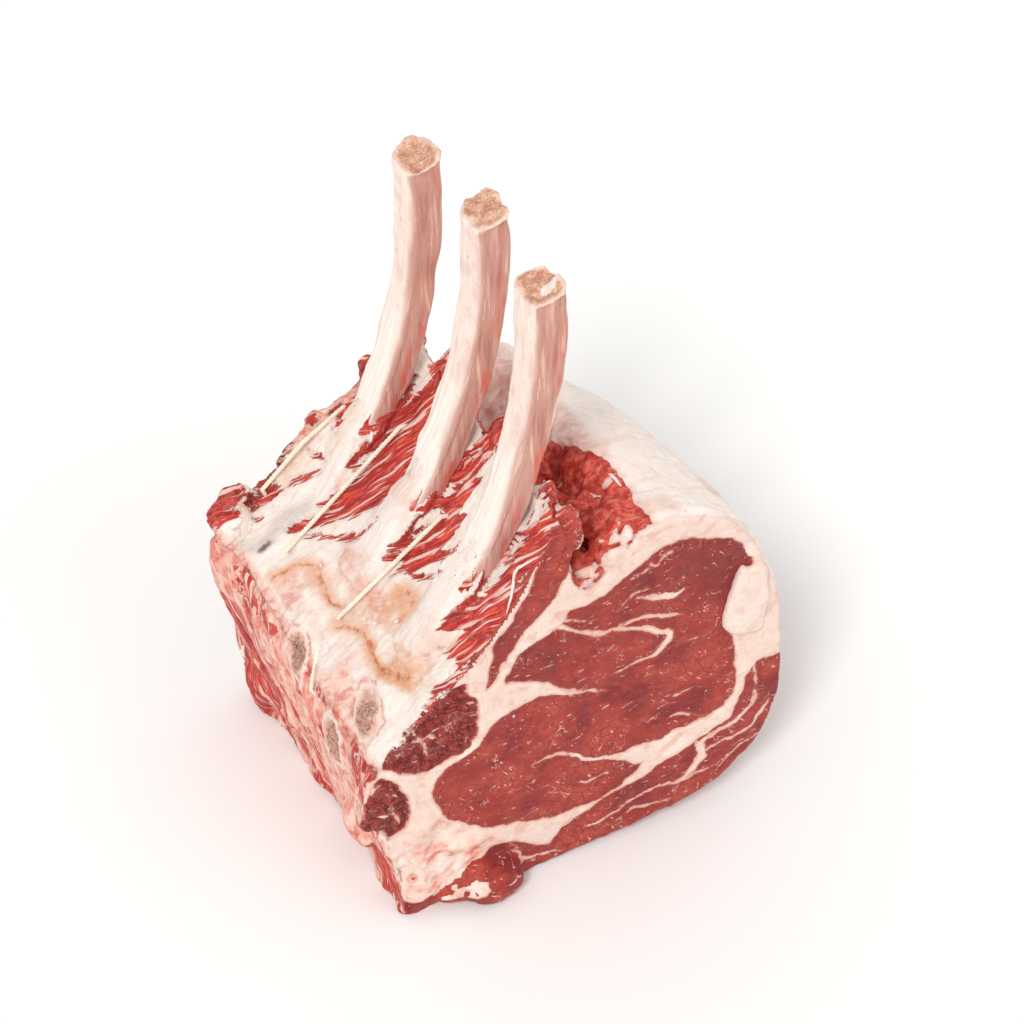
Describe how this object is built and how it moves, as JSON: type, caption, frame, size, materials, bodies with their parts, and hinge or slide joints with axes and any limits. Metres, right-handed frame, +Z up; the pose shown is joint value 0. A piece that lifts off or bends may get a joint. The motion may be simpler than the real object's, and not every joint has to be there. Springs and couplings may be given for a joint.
{
  "type": "raw beef rib roast",
  "caption": "Raw frenched beef rib joint with long bare rib bones, a fat cap and marbled cut faces, standing on its feather-bone side.",
  "frame": {"origin": "middle of the joint's box, on the surface that it stands on", "axes": "+Z up along the bare ribs, -Y out of the front cut face, -X out of the chine side, +X out of the fat cap side"},
  "size_m": [0.2027, 0.166, 0.3092],
  "materials": {
    "muscle": "raw beef muscle, moist cut face",
    "fat": "firm raw beef fat, satin",
    "bone": "scraped raw rib bone, satin",
    "twine": "twisted cotton butcher's twine, matt"
  },
  "bodies": {
    "root": {"eye_meat": "muscle", "fat_cap": "fat", "outer_strip": "muscle", "rib_1": "bone", "rib_2": "bone", "rib_3": "bone", "sawn_bone_1": "bone", "sawn_bone_2": "bone", "sawn_bone_3": "bone", "twine_1": "twine", "twine_2": "twine", "twine_3": "twine", "twine_4": "twine"}
  },
  "joints": []
}
